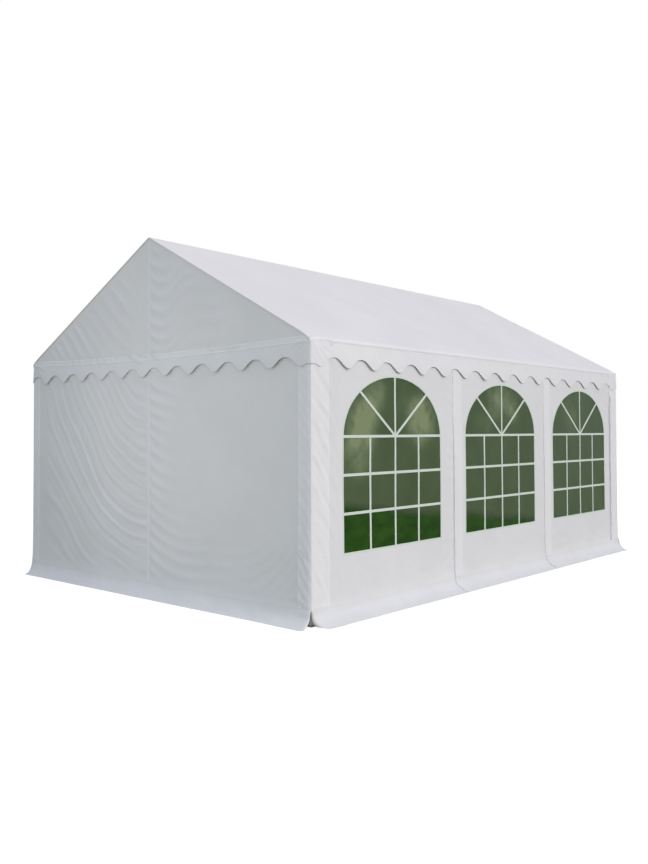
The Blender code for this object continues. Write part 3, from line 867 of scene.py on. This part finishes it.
def clip(loop, point, direction, gap):
    """The part of a convex outline that lies left of a line, and at least a gap away from it."""
    length = math.hypot(*direction)

    def side(p):
        return ((p[1] - point[1]) * direction[0] - (p[0] - point[0]) * direction[1]) / length - gap

    kept = []
    for a, b in zip(loop, loop[1:] + loop[:1]):
        if side(a) >= 0:
            kept.append(a)
        if side(a) * side(b) < 0:
            t = side(a) / (side(a) - side(b))
            kept.append((a[0] + (b[0] - a[0]) * t, a[1] + (b[1] - a[1]) * t))
    return kept


def panes(centre, half_width, sill, spring, rise):
    """Four columns in three rows, and four sectors in the arch, with room for the bars between them."""
    opening, gap = arch(centre, half_width, sill, spring, rise), BAR / 2
    columns = [centre + half_width * (i / 2 - 1) for i in range(5)]
    rows = [sill + (spring - sill) * i / 3 for i in range(4)]
    found = []
    for j in range(3):
        for i in range(4):
            pane = clip(opening, (0, rows[j + 1]), (-1, 0), gap)
            if j > 0:
                pane = clip(pane, (0, rows[j]), (1, 0), gap)
            if i > 0:
                pane = clip(pane, (columns[i], 0), (0, -1), gap)
            if i < 3:
                pane = clip(pane, (columns[i + 1], 0), (0, 1), gap)
            found.append(pane)
    hub = (centre, spring)
    ray = (half_width * math.cos(RAY_ANGLE), rise * math.sin(RAY_ANGLE))
    rays = [(1.0, 0.0), ray, (0.0, 1.0), (-ray[0], ray[1]), (-1.0, 0.0)]
    for first, last in zip(rays, rays[1:]):
        found.append(clip(clip(opening, hub, first, gap), hub, (-last[0], -last[1]), gap))
    return found


def window_sizes(number):
    """Centre, half width, sill, spring and rise of a window's opening, from its film in the frame."""
    low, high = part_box(f"window_right_{number}")
    return ((low.y + high.y) / 2, (high.y - low.y) / 2 - FILM_LAP, low.z + FILM_LAP, WINDOW_SPRING,
            high.z - FILM_LAP - WINDOW_SPRING)


def grown(sizes, by):
    centre, half_width, sill, spring, rise = sizes
    return arch(centre, half_width + by, sill - by, spring, rise + by)


def film_surface(u, v):
    bowed = 0.0009 * cloud(u, v, 0.3, 6.6) - 0.0005
    return lifted(side_wall_surface, u, v, bowed - CLOTH - 0.0012)


def build_windows():
    for number in (1, 2, 3):
        sizes = window_sizes(number)
        film = fill(grown(sizes, 0.02), step=0.03)
        bars = fill(grown(sizes, BORDER), panes(*sizes), step=0.03)
        for label, side in SIDES:
            turn = (side, 1)
            name = f"window_{label}_{number}"
            pane = add_shell(f"{name}_film", film, film_surface, FILM, turn, WINDOW)
            lattice = add_shell(f"{name}_bars", bars, raised(side_wall_surface, BAR_LIFT), BAR_DEPTH, turn,
                                BARS)
            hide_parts(name)


def lap_swell(u, v):
    """The free edge of a lap stands off most low down, and the far one all the way up to the valance."""
    near = 0.15 + 0.85 * (1 - ramp(v, 1.2, 1.9))
    return np.where(u < FAR_SEAM_Y - 0.1, near, 1 - 0.9 * ramp(v, 1.9, SCALLOP_LOW))


def build_side_walls():
    half, place = WALL_Y + CLOTH, side_wall_surface
    openings = [arch(*window_sizes(number)) for number in (1, 2, 3)]
    corners = [(-half, WALL_EDGE), (half, WALL_EDGE), (half, WALL_HEAD), (-half, WALL_HEAD)]
    shape = fill(corners, openings, step=0.026)
    strips = {"front": (-half, -STRIP_Y), "back": (FAR_SEAM_Y, half)}
    seams = ((-STRIP_Y, weld_section(0.02, 0.0020), TAPE),
             (-LAP_Y, lap_section(LAP_WIDTH, 0.014), STRIP_PVC),
             (LAP_Y, lap_section(LAP_WIDTH, 0.008), STRIP_PVC),
             (FAR_SEAM_Y, lap_section(0.06, 0.020), STRIP_PVC))
    for label, side in SIDES:
        turn = (side, 1)
        name = f"side_wall_{label}"
        cloth = add_shell(f"{name}_cloth", shape, place, CLOTH, turn, WALL_PVC)
        pieces = [add_strip(f"{name}_strip_{end}", place, *edges, turn) for end, edges in strips.items()]
        pieces += [add_upright(f"{name}_seam_{i}", place, y, section, turn, material, lap_swell)
                   for i, (y, section, material) in enumerate(seams, 1)]
        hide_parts(name)


# Skirts

def skirt_end(path, half, power, quick, steps=4):
    """Stations of a skirt near one end: places along the wall and the ground, distance out, power and calm.

    When it is quick, its top edge comes close to the wall's corner sooner, and the cloth fans from there.
    """
    ground = smooth_path(path, steps)
    start = path[0][0]
    rows = []
    for i, (inward, out) in enumerate(ground):
        t = i / (len(ground) - 1)
        ease = float(ramp(np.array(t), 0.0, 0.6))
        along = min(1.0, quick * t)
        wall = half - FAN * (1 - t) - (start - FAN) * (1 - along) + foot_flare(SKIRT_TOP) * along
        rows.append((wall, half - inward, out, 2 + (power - 2) * ease, ease))
    return rows


def skirt_stations(half, low_end, high_end):
    low = [(-wall, -ground, *rest) for wall, ground, *rest in skirt_end(low_end[0], half, *low_end[1:])]
    high = skirt_end(high_end[0], half, *high_end[1:])
    between = spaced([low[0][0], high[0][0]], 0.022)[1:-1]
    return np.array(low[::-1] + [(u, u, SKIRT_REACH, 2.0, 0.0) for u in between] + high)


def skirt_point(wall_u, ground_u, out, power, calm, share, seed, wall, upright):
    """A point of a skirt: share is 0 at its top on the wall and 1 at its edge on the ground.

    Along the wall it spreads towards the ground as the wall's foot does. Calm is 1 where an end is folded
    round: there the profile is a rounded one, hollow for a power over 1 and full for one below it.
    """
    part = np.clip(share, 0, 1)
    low = SKIRT_TOP * (1 - part) ** 1.7
    top = foot_flare(SKIRT_TOP)
    spread = (foot_flare(low) - top) / (SKIRT_REACH - top)
    angle = part * np.pi / 2
    push = spread + (1 - np.cos(angle).clip(0, 1) ** (2 / power) - spread) * calm
    height = low + (SKIRT_TOP * (1 - np.sin(angle).clip(0, 1) ** (2 / power)) - low) * calm
    push = push + np.clip(share - 1, 0, None)
    height = height + SKIRT_TOP * np.clip(-share, 0, None)
    lively = 1 - calm
    wave = cloud(ground_u, np.zeros_like(share), 0.55, seed)
    ripple = cloud(ground_u, part * 0.4, 0.13, seed + 3)
    reach = (out - top) * (1 + (0.035 * wave + 0.015 * ripple) * lively)
    bulge = 0.006 * (ripple + 0.3) * np.sin(np.pi * part) * lively
    full = 0.010 * bell(part - 0.22, 0.14) * calm * (power < 2)
    distance = wall + top + reach * push + bulge * 0.5 + full
    along = wall_u + (ground_u - wall_u) * push
    height = height + bulge + 0.002
    axes = (along, -distance, height) if upright else (distance, along, height)
    return round_corners(np.stack(axes, axis=1))


def build_skirt(name, half, wall, ends, seed, upright, turn, seams):
    """A flap from the wall's foot out onto the ground. Upright is True on the ends and False on the sides."""
    rows = skirt_stations(half, *ends)
    steps = 16
    points, triangles = grid_of(range(len(rows)), range(steps + 1))
    station = points[:, 0].astype(int)
    share = 1 - points[:, 1] / steps
    placed = skirt_point(*rows[station].T, share, seed, wall, upright)
    flat_u = np.concatenate(([0.0], np.cumsum(np.hypot(np.diff(rows[:, 1]), np.diff(rows[:, 2])))))
    shape = (np.stack((flat_u[station], (1 - share) * SKIRT_DROP), axis=1), triangles)
    cloth = add_shell(f"{name}_cloth", shape, lambda u, v: placed, CLOTH, turn, SKIRT_PVC)

    def surface(u, v):
        ones = np.ones_like(u)
        row = (u, u, SKIRT_REACH * ones, 2 * ones, 0 * ones)
        return skirt_point(*row, 1 - v / SKIRT_DROP, seed, wall, upright)

    for i, (u, section) in enumerate(seams, 1):
        path = straight((u, 0.006), (u, SKIRT_DROP - 0.02), 0.012)
        add_tape(f"{name}_seam_{i}", surface, path, section, turn, SKIRT_PVC)
    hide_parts(name)


def build_skirts():
    cut_back = (CUT_BACK, 3.0, 3.0)
    seams = [(0.0, weld_section(0.026, 0.0022))]
    for label, end in ENDS:
        ends = (cut_back, (LOBE, 1.7, 1.6))
        build_skirt(f"skirt_{label}", WALL_X, WALL_Y, ends, 1.5, True, (1, end), seams)
    laps = [(y, lap_section(0.05, 0.006)) for y in (-LAP_Y, LAP_Y)]
    for label, side in SIDES:
        ends = (cut_back, (SQUARE, 2.6, 2.2))
        build_skirt(f"skirt_{label}", WALL_Y, WALL_X, ends, 4.5, False, (side, 1), laps)


# Frame, floor, light and camera

def dress_frame():
    """The tubes and rails keep their built shapes and get a galvanised finish."""
    for name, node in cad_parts.items():
        if name.startswith(("leg_", "rafter_", "eave_tube", "ridge_tube", "gable_tie", "ground_")):
            for material_slot in node.material_slots:
                material_slot.material = STEEL


def build_floor():
    size = 60.0
    mesh = bpy.data.meshes.new("floor")
    corners = [(x * size, y * size, 0) for x, y in ((-1, -1), (1, -1), (1, 1), (-1, 1))]
    mesh.from_pydata(corners, [], [(0, 1, 2, 3)])
    material, tree, shader = new_material("floor")
    set_inputs(tree, shader, {"Base Color": (0.20, 0.20, 0.20, 1.0), "Roughness": 1.0,
                              "Specular IOR Level": 0.0, "Emission Color": (1.0, 1.0, 1.0, 1.0),
                              "Emission Strength": 0.93})
    mesh.materials.append(material)
    floor = bpy.data.objects.new("floor", mesh)
    bpy.context.scene.collection.objects.link(floor)
    floor.visible_diffuse = False
    floor.visible_glossy = False


def aim(obj, direction):
    obj.rotation_euler = Vector(direction).to_track_quat("Z", "Y").to_euler()
    bpy.context.scene.collection.objects.link(obj)


def build_light():
    """An even sky, bluer above, that shows white behind the tent; a soft sun from the right; two lamps."""
    world = bpy.data.worlds.new("studio")
    world.use_nodes = True
    bpy.context.scene.world = world
    tree = world.node_tree
    tree.nodes.clear()
    direction = add_node(tree, "TexCoord").outputs["Generated"]
    height = add_node(tree, "SeparateXYZ", {"Vector": direction}).outputs["Z"]
    sky = add_mix(tree, add_range(tree, height, -0.15, 0.15, 0.0, 1.0), (0.306, 0.311, 0.265, 1.0),
                  (0.516, 0.571, 0.661, 1.0))
    lit = add_node(tree, "Background", {"Color": sky, "Strength": 1.0})
    seen = add_node(tree, "Background", {"Color": (1.0, 1.0, 1.0, 1.0), "Strength": 1.0})
    looked_at = add_node(tree, "LightPath").outputs["Is Camera Ray"]
    mix = add_node(tree, "MixShader", {0: looked_at, 1: lit.outputs[0], 2: seen.outputs[0]})
    add_node(tree, "OutputWorld", {"Surface": mix.outputs[0]})

    light = bpy.data.lights.new("sun", "SUN")
    light.energy = 1.40
    light.angle = math.radians(24)
    light.color = (1.0, 0.913, 0.898)
    aim(bpy.data.objects.new("sun", light), (0.857, 0.048, 0.53))

    for name, energy, place, target in (("lamp_front", 17.2, (0.15, -5.4, 1.68), (1.5, -3.0, 3.0)),
                                        ("lamp_right", 16.0, (6.2, -4.2, 2.0), (2.0, -2.2, 1.2))):
        lamp = bpy.data.lights.new(name, "AREA")
        lamp.shape = "SQUARE"
        lamp.size = 3.0
        lamp.energy = energy
        box = bpy.data.objects.new(name, lamp)
        box.location = place
        box.visible_camera = False
        box.visible_glossy = False
        aim(box, Vector(place) - Vector(target))

    bpy.context.scene.view_settings.view_transform = "Standard"


def build_camera():
    camera = bpy.data.cameras.new("camera")
    camera.sensor_width = 36.0
    camera.lens = 36.007
    camera.shift_x = 0.0349
    camera.shift_y = -0.0277
    camera.clip_end = 500.0
    obj = bpy.data.objects.new("camera", camera)
    heading, pitch, roll = 0.7368, 0.0264, -0.0021
    turn = Matrix.Rotation(heading, 4, "Z") @ Matrix.Rotation(math.pi / 2 + pitch, 4, "X")
    turn = turn @ Matrix.Rotation(roll, 4, "Z")
    obj.matrix_world = Matrix.Translation((6.4220, -8.0701, 1.5219)) @ turn
    bpy.context.scene.collection.objects.link(obj)
    bpy.context.scene.camera = obj


build_roof()
build_valances()
build_gables()
build_end_walls()
build_side_walls()
build_windows()
build_skirts()
dress_frame()
build_floor()
build_light()
build_camera()
